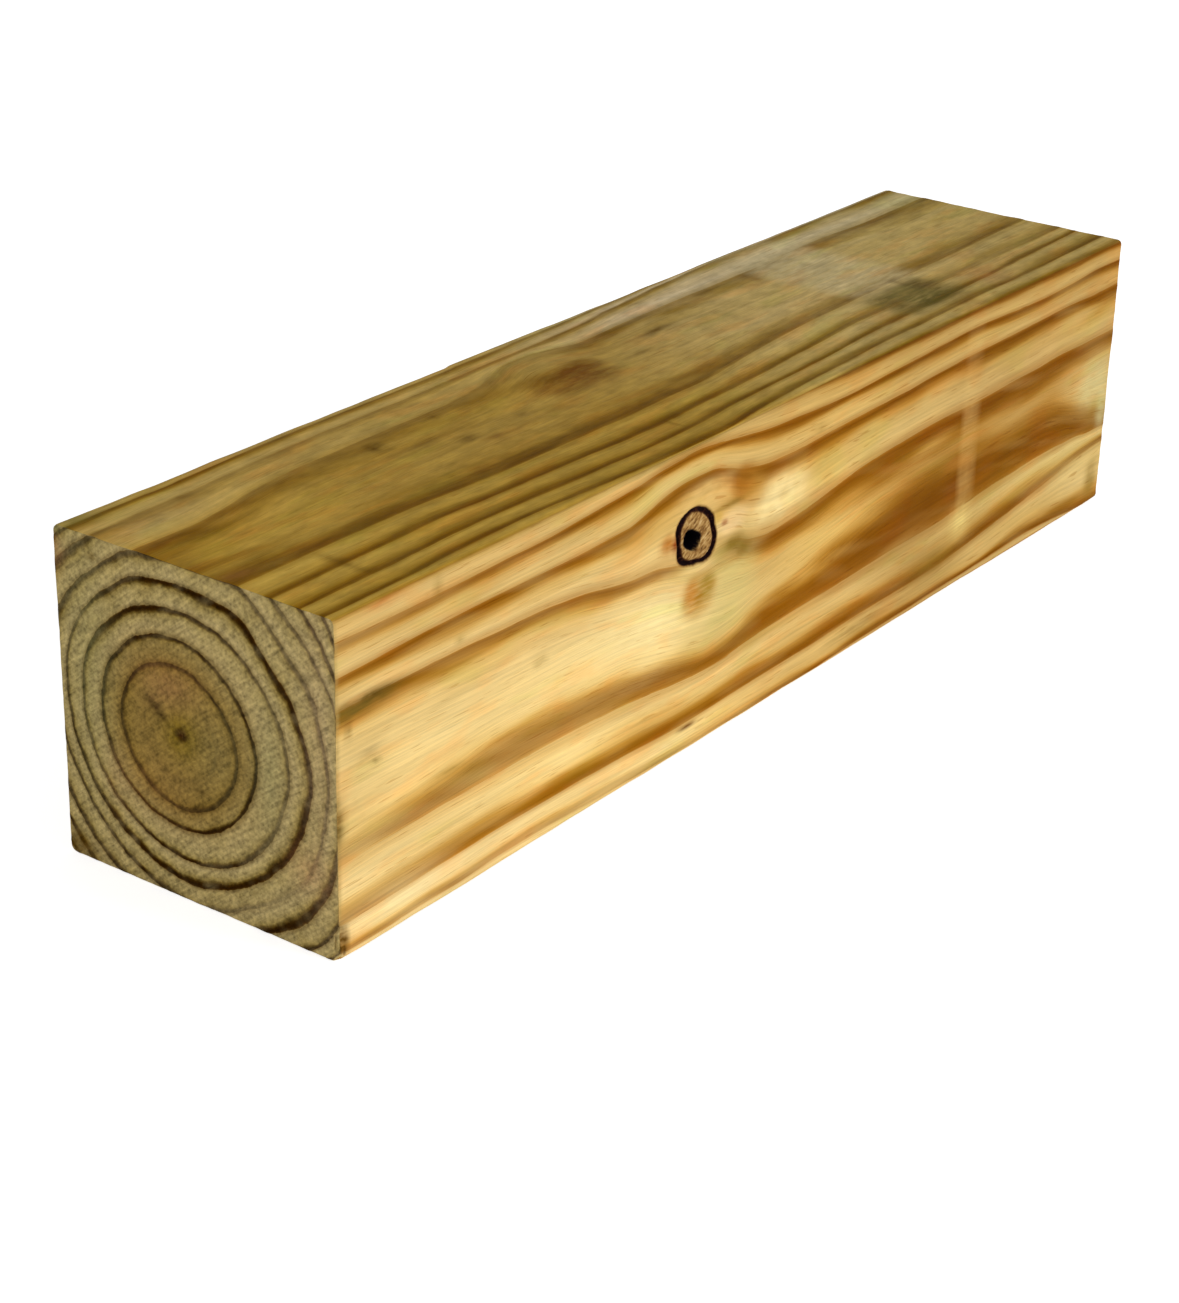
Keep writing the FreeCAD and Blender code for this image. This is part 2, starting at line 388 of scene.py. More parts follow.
# Each: from butt, across the face, half length, half width, strength, edge (2 is soft), colour.
KNOT_FACE_STAINS = [
    (127, 46, 16, 10, 0.55, 2, CREAM), (183, 27, 15, 6.5, 0.6, 4, CREAM), (104, 44, 30, 9, 0.25, 2, CREAM),
    (162, 45, 11, 13, 0.5, 3, LICHEN), (150, 56, 12, 5, 0.3, 2, LICHEN),
    (147, 16, 14, 4.6, 0.75, 4, (226, 188, 116)), (165.5, 17, 6, 5, 0.9, 4, (158, 102, 28)),
    (171, 22, 6, 5, 0.6, 3, (186, 136, 56)), (159, 21.8, 9, 0.9, 0.65, 3, OLIVE),
    (130.8, 24.6, 3.8, 3, 0.95, 3, (178, 112, 40)), (133.7, 25.6, 1.5, 2.6, 0.95, 3, (148, 76, 32)),
    (160, 27, 7, 3.2, 0.7, 3, BLUSH), (153.5, 24, 2, 1.8, 0.6, 3, (198, 160, 66)),
    (156.5, 26.3, 1.6, 0.9, 0.9, 3, (160, 100, 60)), (144, 36.4, 11, 1.8, 0.5, 3, (232, 200, 134)),
    (145.3, 43.6, 8, 6.5, 0.95, 5, (196, 154, 78)), (142, 42.4, 3.3, 4.4, 0.75, 3, (202, 136, 58)),
    (149.5, 42, 3.8, 3.6, 0.8, 4, (164, 134, 52)), (145.5, 44, 2.2, 2, 0.7, 3, (170, 120, 38)),
    (161, 33.6, 5, 2.2, 0.9, 3, OLIVE), (166, 36.4, 4, 2.4, 0.85, 3, OLIVE),
    (155, 35, 4, 2.4, 0.5, 2, (170, 150, 72)), (135, 33, 4, 1.5, 0.45, 2, (178, 138, 60)),
    (203, 13, 3, 1.5, 0.4, 2, OLIVE), (281, 56, 4.5, 4, 0.5, 2, (128, 66, 18)),
    (260, 55, 14, 3.5, 0.35, 2, (110, 66, 12)), (273, 76, 13, 3.6, 0.65, 2, OLIVE),
    (256, 68, 16, 5, 0.45, 2, GREYED), (230, 82.5, 18, 2.6, 0.45, 2, OLIVE),
    (268, 82, 16, 3, 0.4, 2, GREYED), (323, 49, 7, 2, 0.5, 2, (124, 84, 4)),
    (288.5, 46, 4.2, 16, 0.32, 6, (224, 180, 104)), (288.5, 20, 4.2, 16, 0.14, 6, (226, 190, 118)),
    (287.5, 67, 5, 5, 0.6, 2, (240, 216, 132)), (370, 45, 11, 8, 0.75, 4, (208, 192, 132)),
    (378, 55, 4, 8, 0.6, 3, (206, 196, 140)), (375, 80, 4.5, 6.5, 0.6, 3, OLIVE),
    (6, 24.4, 17, 2.5, 1, 3, (112, 84, 14)), (13, 23.4, 9, 1.3, 0.8, 2, (84, 58, 4)),
    (6, 40, 12, 18, 0.25, 2, GREYED), (17, 1.2, 6, 1.4, 0.5, 2, (190, 96, 36)),
    (50, 0, 60, 1.6, 0.5, 3, OLIVE), (130, 0, 30, 2, 0.5, 3, OLIVE),
    (280, 0.4, 110, 1.8, 0.5, 3, (116, 74, 22)), (129, 83.4, 22, 1.6, 0.5, 2, CREAM),
    (142, 81.2, 4, 0.6, 0.9, 3, (110, 62, 10)), (0, 45, 1.2, 60, 0.6, 4, GREYED),
    (0.5, 52, 2.2, 5, 0.85, 2, MILDEW), (1, 83.5, 2.8, 4.5, 0.9, 4, MILDEW),
    (12, 37.6, 3, 1.4, 0.4, 2, MILDEW), (4, 29, 1.2, 2.2, 0.6, 2, MILDEW),
    (14, 40.5, 1.6, 0.8, 0.5, 2, MILDEW), (76.5, 38, 1.5, 1.4, 0.75, 2, OLIVE),
    (45.5, 21, 1.6, 1, 0.5, 2, OLIVE), (41, 53.6, 5, 0.7, 0.5, 2, OLIVE),
    (36, 4.5, 1, 3, 0.5, 2, OLIVE),
]
DIRT = (100, 68, 0)
TOP_FACE_STAINS = [
    (13, 19, 20, 5, 0.5, 2, (178, 152, 104)), (5, 3, 7, 4, 0.6, 2, (110, 104, 40)),
    (162.5, 33.2, 15.5, 8.8, 1, 6, (134, 92, 10)), (168, 32.4, 10, 6.6, 0.9, 4, (116, 70, 0)),
    (86.4, 26.4, 3, 2.5, 1, 3, DIRT), (88, 30, 2.6, 1.4, 0.5, 2, DIRT),
    (98, 34, 11, 1.5, 0.6, 2, DIRT), (107.6, 40.8, 3.4, 1.7, 0.95, 2, DIRT),
    (114, 45, 3.6, 1.4, 0.6, 2, DIRT), (114, 23.8, 1.8, 1.9, 0.7, 2, DIRT),
    (58, 32, 3, 1.1, 0.45, 2, DIRT), (32, 12.2, 2.4, 1.4, 0.6, 2, DIRT), (131, 40, 2.6, 1.2, 0.6, 2, DIRT),
    (210.5, 27, 6.4, 1.5, 0.95, 2, DIRT), (193, 35.2, 7, 1.2, 0.6, 2, DIRT),
    (25.3, 70, 0.9, 9, 0.45, 6, DIRT), (151, 75, 0.8, 3.5, 0.35, 6, DIRT),
    (270.5, 20.5, 2.6, 4.4, 0.5, 4, (120, 86, 34)), (290.5, 30.5, 18, 27.5, 0.66, 8, (208, 190, 142)),
    (287, 67.4, 17.5, 10, 0.9, 6, (118, 104, 50)), (299, 63.8, 4.4, 6, 0.7, 3, (96, 70, 26)),
    (292, 74, 13, 2.6, 0.7, 3, (78, 66, 4)), (295.5, 57.5, 1.4, 5, 0.5, 3, (110, 88, 46)),
    (277, 68, 4, 8, 0.4, 3, (136, 106, 48)), (320, 74, 8, 7, 0.35, 2, (180, 116, 66)),
    (350, 72.5, 17, 0.9, 0.6, 3, (110, 78, 20)), (163, 18, 20, 3.4, 0.35, 2, (176, 150, 84)),
    (200, 44, 180, 14, 0.15, 2, (196, 168, 110)), (5, 55, 5, 2.4, 0.4, 2, (160, 104, 54)),
]


def stain(at, across, stains, paint_on, cover):
    """Lays each stain over the ones before it. It fades outwards, faster the higher its edge.

    A stain is an oval, or a rounded rectangle where its edge is crisp.
    """
    for place, middle, half_length, half_width, strength, edge, colour in stains:
        power = 6 if edge >= CRISP else 2
        along, sideways = np.abs((at - place) / half_length), np.abs((across - middle) / half_width)
        reach = (along ** power + sideways ** power) ** (1 / power)
        share = strength * np.exp(-reach ** edge)
        paint_on = paint_on * (1 - share[:, None]) + paint(*colour) * share[:, None]
        cover = cover * (1 - share) + share
    return paint_on, cover


# ---- the surface

def divided(*stretches):
    """Divides a length into cells. Each stretch is (where it ends, about how long its cells are)."""
    places, start = [np.zeros(1)], 0.0
    for end, cell in stretches:
        count = max(1, round((end - start) / cell))
        places.append(np.linspace(start, end, count + 1)[1:])
        start = end
    return np.concatenate(places)


def lattice_lines():
    """The grid lines on the square timber, closest together at its edges and round the knot."""
    along = divided((3, 0.6), (20, 1.6), (100, 2.8), (130, 1.6), (160, 0.65), (200, 1.8),
                    (LENGTH - 19, 3.2), (LENGTH - 3, 1.6), (LENGTH, 0.6))
    down = divided((3, 0.5), (15, 1.0), (37, 0.6), (HEIGHT - 3, 1.2), (HEIGHT, 0.5))
    inwards = divided((3, 0.5), (WIDTH - 3, 1.0), (WIDTH, 0.5))
    return BUTT + along, KNOT_FACE + inwards, (TOP_FACE - down)[::-1]


def closed_lattice(lines):
    """Six grids, one on each face of a box, welded where they meet. Gives grid places, quads and ends.

    A grid point's three counts along the box become one number, so points that two faces share are one.
    """
    counts = [len(line) for line in lines]
    quads = []
    for axis in range(3):
        first, second = (axis + 1) % 3, (axis + 2) % 3
        a, b = np.meshgrid(np.arange(counts[first]), np.arange(counts[second]), indexing="ij")
        for side in (0, counts[axis] - 1):
            place = np.zeros(a.shape + (3,), int)
            place[..., axis], place[..., first], place[..., second] = side, a, b
            key = (place[..., 0] * counts[1] + place[..., 1]) * counts[2] + place[..., 2]
            quad = np.stack([key[:-1, :-1], key[1:, :-1], key[1:, 1:], key[:-1, 1:]], -1).reshape(-1, 4)
            quads.append(quad if side else quad[:, ::-1])
    on_end = np.repeat([True, True, False, False, False, False], [len(quad) for quad in quads])
    keys, corners = np.unique(np.concatenate(quads), return_inverse=True)
    places = np.stack([keys // (counts[1] * counts[2]), keys // counts[2] % counts[1], keys % counts[2]], 1)
    return places, corners.reshape(-1, 4), on_end


EASED_EDGE = 2.0
ROUNDED_RIM = 0.12
# The surface's middle level lies this far inside the timber's true size, so that nothing stands out of it.
SINK = 0.22
# The corner broken off the butt: its length along the post, its depth from the knot face, and its height.
CHIP_LENGTH, CHIP_DEPTH, CHIP_HEIGHT = 4.2, 2.4, 10.0
# The hard latewood and the dead knot stand out a little, and the bark between has shrunk into a groove.
LATEWOOD_STANDS_OUT, KNOT_STANDS_OUT, GROOVE_DEPTH, GROOVE_HALF_WIDTH = 0.10, 0.12, 0.9, 0.6
# A small dent (from butt, below top, half length, half width), and its depth.
DENT, DENT_DEPTH = (78, 38, 1.6, 1.3), 0.5
# The back top edge is fuller from about the first of these places, most at the second, and then tapers off.
FULLER_FROM, FULLEST_AT, FULLER_LENGTH, FULLER_BY, FULLER_REACH = 146, 151, 40, 0.5, 7


def wander(seed, places, lengths):
    """A smooth random field of about unit size: a sum of cosine waves, of about these lengths."""
    dice = np.random.default_rng(seed)
    waves = dice.normal(size=(16, 3)) / np.array(lengths)
    starts = dice.uniform(0, 2 * np.pi, 16)
    return np.cos(2 * np.pi * places @ waves.T + starts).sum(1) / math.sqrt(8)


def rounded(flat):
    """Rounds the four long edges: what sticks out of the inner box on two sides is drawn onto a circle."""
    inner = np.clip(flat[:, 1:], LOW[1:] + EASED_EDGE, HIGH[1:] - EASED_EDGE)
    out = flat[:, 1:] - inner
    outwards = out / np.maximum(np.linalg.norm(out, axis=1), 1e-9)[:, None]
    section = inner + outwards * np.abs(out).max(1)[:, None]
    return np.concatenate([flat[:, :1], section], 1), outwards


def relief(flat, age, on_knot_face):
    """How far each place stands out of the timber's true surface: a sum of small reliefs, never above 0."""
    from_butt, below_top, from_back = measured(flat)
    out = -SINK + LATEWOOD_STANDS_OUT * ease(age % 1, 0.68, 0.92)
    out += 0.06 * wander(3, flat, (90, 40, 40)) + 0.03 * wander(5, flat, (25, 7, 7))
    outer, inner = knot_rims(from_butt, below_top)
    groove = np.exp(-((outer + inner) / 2 / GROOVE_HALF_WIDTH) ** 2)
    knot = KNOT_STANDS_OUT * ease(-outer, 1.6, 2.2) - GROOVE_DEPTH * groove
    pit = -PIT_DEPTH * ease(-pit_rim(from_butt, below_top), 0.0, 0.9)
    dent = -DENT_DEPTH * spot(from_butt, below_top, *DENT)
    out += np.where(on_knot_face, knot + pit + dent, 0)
    at_back_arris = np.exp(-(np.hypot(from_back, below_top) / FULLER_REACH) ** 2)
    tapering = np.exp(-np.maximum(from_butt - FULLEST_AT, 0) / FULLER_LENGTH)
    out += FULLER_BY * at_back_arris * ease(from_butt, FULLER_FROM, FULLEST_AT) * tapering
    return np.minimum(out, 0)


def chipped(places):
    """Takes off the butt's lower corner: what lies beyond a sloping plane is moved back onto it."""
    from_butt, from_face, up = (places - np.array([BUTT, KNOT_FACE, FLOOR_FACE])).T
    splinters = 0.10 * wander(11, places, (3, 1.5, 6))
    beyond = 1 + splinters - from_butt / CHIP_LENGTH - from_face / CHIP_DEPTH
    share = np.clip(beyond, 0, 1) / 2 * ease(CHIP_HEIGHT + 0.6 - up, 0, 1.4)
    return places + share[:, None] * np.array([CHIP_LENGTH, CHIP_DEPTH, 0])


# How the knot face darkens along the post, in red, green and blue: (from butt, tone).
KNOT_FACE_TONES = [
    [(0, 0.98), (110, 0.96), (145, 0.94), (170, 0.88), (215, 0.79), (260, 0.66), (340, 0.64), (381, 0.68)],
    [(0, 0.97), (110, 0.96), (145, 0.93), (170, 0.84), (215, 0.72), (260, 0.58), (340, 0.57), (381, 0.62)],
    [(0, 0.95), (110, 0.93), (145, 0.88), (170, 0.75), (215, 0.6), (260, 0.48), (340, 0.49), (381, 0.54)],
]


# Broad places that are lighter or darker: (from butt, across, half length, half width, red, green, blue).
KNOT_FACE_PATCHES = [
    (310, 9, 120, 14, 1.22, 1.34, 1.44), (0, 10, 50, 12, 1.08, 1.12, 1.2),
    (118, 10, 28, 10, 1.06, 1.12, 1.2), (88, 29, 46, 8, 0.88, 0.84, 0.82),
    (245, 24, 30, 8, 1.08, 1.16, 1.24), (166, 40, 22, 17, 0.82, 0.79, 0.75),
    (10, 80, 50, 10, 1.12, 1.22, 1.5), (65, 80, 40, 10, 1.05, 1.08, 1.18),
    (268, 79, 24, 12, 0.84, 0.8, 0.7), (365, 78, 24, 12, 1.12, 1.2, 1.32),
    (280, 52, 70, 14, 0.95, 0.94, 0.84), (345, 64, 60, 9, 1.14, 1.28, 1.34),
    (320, 80, 40, 8, 1.1, 1.16, 1.18), (70, 62, 40, 8, 1.07, 1.09, 1.08), (215, 46, 26, 7, 1.1, 1.12, 1.1),
]
TOP_FACE_PATCHES = [
    (10, 50, 40, 60, 1.16, 1.2, 1.3), (40, 70, 160, 14, 1.08, 1.08, 1.12),
    (140, 44, 70, 12, 0.92, 0.9, 0.88), (340, 14, 90, 24, 1.08, 1.14, 1.3),
    (290, 64, 60, 24, 1.02, 1.02, 1.14), (90, 10, 130, 14, 1.15, 1.18, 1.5),
    (20, 30, 34, 14, 1.26, 1.27, 1.42), (230, 12, 70, 14, 1.16, 1.18, 1.34),
    (250, 48, 60, 16, 1.14, 1.14, 1.26), (215, 62, 40, 10, 1.12, 1.12, 1.1),
    (300, 14, 20, 18, 1.12, 1.12, 1.16), (110, 26, 30, 8, 1.16, 1.18, 1.3),
]


# The knot face is browner near the top. The top face is drawn paler and greyer towards its far end and its
# back edge: a painted sheen.
NEAR_TOP, PAINTED_SHEEN_FAR_END, PAINTED_SHEEN_BACK = (0.76, 0.69, 0.59), (1.14, 1.3, 2.5), (1.05, 1.12, 1.6)
PLAIN_TONE = 0.9


def tint(share, colour):
    """A colour to multiply by: plain white where the share is 0, and the whole colour where it is 1."""
    return 1 + share[:, None] * (np.array(colour) - 1)


def tones(flat, on_knot_face, on_top_face):
    """The broad changes of tone, as a colour that multiplies it: the wood's own, and on the top face a
    painted sheen towards its far end and its back edge.
    """
    from_butt, below_top, from_back = measured(flat)
    along = np.stack([run(points, from_butt) for points in KNOT_FACE_TONES], 1)
    knot_face = along * tint(1 - ease(below_top, 4, 38), NEAR_TOP)
    # Painted sheen: the top face paler and greyer towards its far end and its back edge.
    top_face = tint(ease(from_butt, 150, 235), PAINTED_SHEEN_FAR_END)
    top_face *= tint(1 - ease(from_back, 8, 34), PAINTED_SHEEN_BACK)
    for chosen, across, patches in ((knot_face, below_top, KNOT_FACE_PATCHES),
                                    (top_face, from_back, TOP_FACE_PATCHES)):
        for *place, red, green, blue in patches:
            chosen *= tint(spot(from_butt, across, *place), (red, green, blue))
    plain = np.full_like(knot_face, PLAIN_TONE)
    return np.where(on_knot_face[:, None], knot_face, np.where(on_top_face[:, None], top_face, plain))


# As on the long faces, but across the butt from the back and then below the top.
END_STAINS = [
    (40.2, 44.1, 5.5, 6, 0.8, 2, (128, 104, 16)), (40.2, 44.1, 2.4, 2.1, 1, 4, (56, 28, 4)),
    (30.6, 37.8, 1.7, 1.1, 1, 2, (50, 34, 6)), (32.2, 39.4, 1.8, 1.2, 1, 2, (50, 34, 6)),
    (34, 41, 1.6, 1.1, 0.9, 2, (50, 34, 6)), (46, 57.3, 2.2, 0.9, 0.8, 2, (66, 46, 10)),
    (12.9, 5.5, 1.3, 1.1, 0.95, 2, MILDEW), (2, 86, 9, 4, 0.7, 3, MILDEW),
    (0, 6, 3, 6, 0.6, 2, (132, 84, 50)), (1, 1, 2, 2, 0.6, 2, (80, 90, 40)),
    (35, 34, 8, 5, 0.3, 2, (176, 128, 84)), (84, 30, 5, 40, 0.25, 2, (190, 160, 120)),
    (52, 45, 9, 12, 0.25, 2, (136, 128, 80)), (10, 35, 8, 30, 0.35, 2, (136, 132, 82)),
    (68, 45, 4, 14, 0.4, 2, (138, 134, 88)), (80, 67, 6, 6, 0.3, 2, (176, 124, 84)),
    (30, 62, 12, 8, 0.25, 2, (160, 116, 64)), (38, 30, 9, 4, 0.3, 2, (160, 112, 66)),
    (18, 62, 4, 8, 0.25, 2, (166, 128, 82)),
]


def add_layer(mesh, name, kind, values):
    """Stores one value for each vertex on the mesh, for the shaders to read."""
    key = {"FLOAT": "value", "FLOAT_VECTOR": "vector", "FLOAT_COLOR": "color"}[kind]
    layer = mesh.attributes.new(name, kind, "POINT")
    layer.data.foreach_set(key, np.ascontiguousarray(values, np.float32).ravel())


# How far the saw has taken the ends in, and how much that wanders.
SAWN_IN, SAWN_WANDER = 0.10, 0.05
# What the knot's layer holds on the other faces: a distance well clear of it.
FAR_FROM_KNOT = 50.0
SHARP_EDGE = math.radians(50)


def timber():
    """The post's whole surface as one closed mesh, with what its shaders need to know about each place."""
    lines = lattice_lines()
    places, quads, on_end = closed_lattice(lines)
    last = np.array([len(line) - 1 for line in lines])
    flat = np.stack([line[place] for line, place in zip(lines, places.T)], 1)
    at_end = (places[:, 0] == 0) | (places[:, 0] == last[0])
    on_knot_face, on_top_face = places[:, 1] == 0, places[:, 2] == last[2]
    on_long_face = ((places[:, 1:] == 0) | (places[:, 1:] == last[1:])).any(1)

    age = ring_ages(flat)
    section, outwards = rounded(flat)
    inwards = np.where(on_long_face, -relief(flat, age, on_knot_face), 0)
    inwards += ROUNDED_RIM * (at_end & on_long_face)
    section[:, 1:] -= outwards * inwards[:, None]
    from_end = SAWN_IN + SAWN_WANDER * (wander(7, flat, (9, 5, 5)) - ease(age % 1, 0.75, 0.95))
    from_end = np.where(on_long_face, ROUNDED_RIM + SAWN_WANDER, np.clip(from_end, 0, 1))
    section[:, 0] -= np.sign(flat[:, 0]) * np.where(at_end, from_end, 0)
    section = chipped(section)

    mesh = bpy.data.meshes.new("timber")
    mesh.from_pydata((section * MM).tolist(), [], quads.tolist())
    mesh.polygons.foreach_set("material_index", on_end.astype(np.int32))
    mesh.polygons.foreach_set("use_smooth", np.ones(len(quads), bool))

    from_butt, below_top, from_back = measured(flat)
    paint_on, cover = np.zeros((len(flat), 3)), np.zeros(len(flat))
    at_butt = at_end & (from_butt < 1) & ~on_long_face
    for chosen, at, across, stains in ((on_knot_face, from_butt, below_top, KNOT_FACE_STAINS),
                                       (on_top_face & ~on_knot_face, from_butt, from_back, TOP_FACE_STAINS),
                                       (at_butt, from_back, below_top, END_STAINS)):
        under = paint_on[chosen], cover[chosen]
        paint_on[chosen], cover[chosen] = stain(at[chosen], across[chosen], stains, *under)
    # How much of the darker olive ring colours each place takes: all on the top face, half at its edge with
    # the knot face, 0.6 elsewhere. It is partly the top's weathered tone and partly painted shade.
    weathering_and_shade = np.where(on_knot_face, 0.5 * on_top_face, np.where(on_top_face, 1.0, 0.6))
    knot = np.stack([*knot_rims(from_butt, below_top), pit_rim(from_butt, below_top)], 1)
    add_layer(mesh, "ring_age", "FLOAT", age)
    share, darkness = latewood(flat, age, on_knot_face, on_top_face)
    slope = years_per_mm(flat, on_knot_face, on_top_face)
    add_layer(mesh, "latewood", "FLOAT_VECTOR", np.stack([share, darkness, slope], 1))
    add_layer(mesh, "fibre", "FLOAT_VECTOR", fibre_places(flat))
    add_layer(mesh, "weathering_and_shade", "FLOAT", weathering_and_shade)
    add_layer(mesh, "knot", "FLOAT_VECTOR", np.where(on_knot_face[:, None], knot, FAR_FROM_KNOT))
    add_layer(mesh, "tone", "FLOAT_VECTOR", tones(flat, on_knot_face, on_top_face))
    add_layer(mesh, "stain", "FLOAT_COLOR", np.concatenate([paint_on, cover[:, None]], 1))
    mesh.set_sharp_from_angle(angle=SHARP_EDGE)
    mesh.validate()
    return mesh


# ---- materials

class Paints:
    """Writes the nodes of a material or a world. A socket given as an input is linked, a value is set."""

    def __init__(self, owner):
        self.owner = owner
        owner.use_nodes = True
        self.tree = owner.node_tree
        self.tree.nodes.clear()

    def node(self, kind, inputs=(), **settings):
        """A new node of this kind, with its settings made and its inputs joined up."""
        made = self.tree.nodes.new("ShaderNode" + kind)
        for name, value in settings.items():
            setattr(made, name, value)
        for name, value in dict(inputs).items():
            if isinstance(value, bpy.types.NodeSocket):
                self.tree.links.new(value, made.inputs[name])
            else:
                made.inputs[name].default_value = value
        return made

    def layer(self, name, output="Vector"):
        """What the mesh holds in one of its layers."""
        return self.node("Attribute", attribute_name=name).outputs[output]

    def math(self, operation, *values):
        """Plain arithmetic on one to three numbers."""
        return self.node("Math", enumerate(values), operation=operation).outputs[0]

    def scaled(self, vector, *factors):
        """A place or a colour times a factor for each of its three parts, or times another one."""
        other = factors if len(factors) == 3 else factors[0]
        return self.node("VectorMath", {0: vector, 1: other}, operation="MULTIPLY").outputs[0]

    def place(self):
        """The place on the timber, in millimetres."""
        return self.scaled(self.node("TexCoord").outputs["Object"], 1 / MM, 1 / MM, 1 / MM)

    def noise(self, vector, *factors, detail=3.0, centred=0.0):
        """Noise whose features are about one over each factor in size, from 0 to 1, or centred on 0.

        centred is then how far it swings: the noise times twice that, less that.
        """
        inputs = {"Vector": self.scaled(vector, *factors), "Scale": 1.0, "Detail": detail}
        value = self.node("TexNoise", inputs).outputs[0]
        return self.math("MULTIPLY_ADD", value, centred * 2, -centred) if centred else value

    def span(self, value, start, end, low=0.0, high=1.0):
        """Goes smoothly from low to high as value goes from start to end."""
        inputs = {"Value": value, "From Min": start, "From Max": end, "To Min": low, "To Max": high}
        return self.node("MapRange", inputs, interpolation_type="SMOOTHSTEP").outputs[0]

    def ramp(self, value, stops):
        """A colour that depends on a value, as a row of (value, colour) stops."""
        made = self.node("ValToRGB", {0: value})
        elements = made.color_ramp.elements
        while len(elements) < len(stops):
            elements.new(0.5)
        for element, (place, colour) in zip(elements, stops):
            element.position = place
            element.color = (*paint(*colour), 1)
        return made.outputs[0]

    def mix(self, factor, first, second, blend="MIX"):
        """The first colour where the factor is 0, and the second where it is 1 (or their product)."""
        inputs = {0: factor, 6: first, 7: second}
        for key in (6, 7):
            if not isinstance(inputs[key], bpy.types.NodeSocket):
                inputs[key] = (*inputs[key], 1)
        return self.node("Mix", inputs, data_type="RGBA", blend_type=blend).outputs[2]

    def shifted_age(self, shift):
        """The wood's age as it is this many millimetres away across the grain."""
        slope = self.node("SeparateXYZ", {0: self.layer("latewood")}).outputs[2]
        return self.math("MULTIPLY_ADD", slope, shift, self.layer("ring_age", "Fac"))

    def latewood(self, age):
        """Where a place lies in its year: from its start, from its end in latewoods, and how dark it is."""
        phase = self.math("FRACT", age)
        late = self.node("SeparateXYZ", {0: self.layer("latewood")}).outputs
        inwards = self.math("DIVIDE", self.math("SUBTRACT", 1.0, phase), late[0])
        return phase, self.math("DIVIDE", inwards, RAMP_BREADTHS), late[1]

    def ringed(self, phase, inwards, darkness, stops, pale):
        """A year's colours, with a soft outer edge, and faded towards a pale colour where it is faint."""
        edge = paint(*stops[0][1])
        year = self.mix(self.span(phase, 0.0, 0.2, 0.6, 0.0), self.ramp(inwards, stops), edge)
        return self.mix(darkness, paint(*pale), year)

    def brightened(self, colour, value):
        """A colour times a plain number."""
        return self.node("VectorMath", {0: colour, "Scale": value}, operation="SCALE").outputs[0]

    def stained(self, colour, strength):
        """Lays the mesh's own stains over a colour, stronger or weaker by the given number."""
        soiled = self.node("Attribute", attribute_name="stain").outputs
        cover = self.math("MULTIPLY", soiled["Alpha"], strength)
        clean = self.brightened(colour, self.math("SUBTRACT", 1.0, cover))
        laid = self.brightened(soiled["Color"], strength)
        return self.node("VectorMath", {0: clean, 1: laid}, operation="ADD").outputs[0]

    def finish(self, colour, roughness, height, depth):
        """Ends a material in a dull dry surface with a fine relief, depth metres high."""
        bump = self.node("Bump", {"Height": height, "Distance": depth, "Strength": 1.0})
        inputs = {"Base Color": colour, "Roughness": roughness, "Specular IOR Level": DRY_WOOD_SHINE}
        shader = self.node("BsdfPrincipled", inputs | {"Normal": bump.outputs[0]})
        self.node("OutputMaterial", {"Surface": shader.outputs[0]})
        return self.owner

    def seen(self):
        """1 for what the camera sees, straight, reflected or through something, and 0 for other light."""
        ray = self.node("LightPath").outputs
        indirect = self.math("MAXIMUM", ray["Is Glossy Ray"], ray["Is Transmission Ray"])
        return self.math("MAXIMUM", ray["Is Camera Ray"], indirect)


DRY_WOOD_SHINE = 0.01
# A year's colours, from its dark outer edge inwards. The whole ramp is this many latewood breadths long.
RAMP_BREADTHS = 4.0
FRESH_RINGS = [
    (0.0, (190, 134, 52)), (0.02, (164, 108, 28)), (0.0625, (147, 92, 8)), (0.125, (160, 106, 22)),
    (0.2, (190, 138, 52)), (0.26, (220, 174, 92)), (0.35, (234, 198, 123)), (0.55, (241, 209, 139)),
    (1.0, (243, 214, 146)),
]
# The top face's colours: a darker, more olive copy of the fresh ones, partly its weathered tone and partly
# painted shade.
WEATHERED_AND_SHADED_RINGS = [
    (0.0, (146, 108, 30)), (0.02, (122, 84, 14)), (0.0625, (108, 72, 6)), (0.15, (132, 94, 16)),
    (0.225, (158, 121, 38)), (0.32, (176, 139, 54)), (0.55, (184, 149, 63)), (1.0, (186, 151, 65)),
]
SAWN_RINGS = [
    (0.0, (96, 70, 26)), (0.025, (58, 34, 4)), (0.075, (40, 20, 0)), (0.15, (56, 34, 2)),
    (0.225, (108, 86, 36)), (0.28, (150, 128, 70)), (0.5, (172, 151, 95)), (1.0, (180, 159, 106)),
]
FRESH_PALE, WEATHERED_AND_SHADED_PALE, SAWN_PALE = (238, 204, 130), (180, 145, 58), (174, 154, 104)


# The dead knot's wood and its bark, from the darkest grain to the palest, and the wood stained by the bark.
KNOT_WOOD = [(0.28, (84, 54, 30)), (0.42, (136, 98, 52)), (0.54, (172, 134, 78)), (0.72, (204, 172, 118))]
BARK = [(0.3, (10, 2, 4)), (0.55, (24, 8, 8)), (0.72, (70, 36, 22))]
BARK_STAIN, BARK_RIM = paint(112, 66, 26), paint(84, 46, 24)
# The pit's near black is painted shade in the hole.
PIT_PAINTED_SHADE = (0.003, 0.002, 0.003)
# What the wood is multiplied by in warmer and greener places, in resin canals, and in the butt's heart.
WARM_TINT, GREEN_TINT = (1.04, 0.90, 0.80), (0.93, 1.0, 0.86)
CANAL_TINT, HEART_TINT = (0.62, 0.45, 0.25), (0.62, 0.52, 0.30)
SAW_MARKS_TURN = math.radians(38)


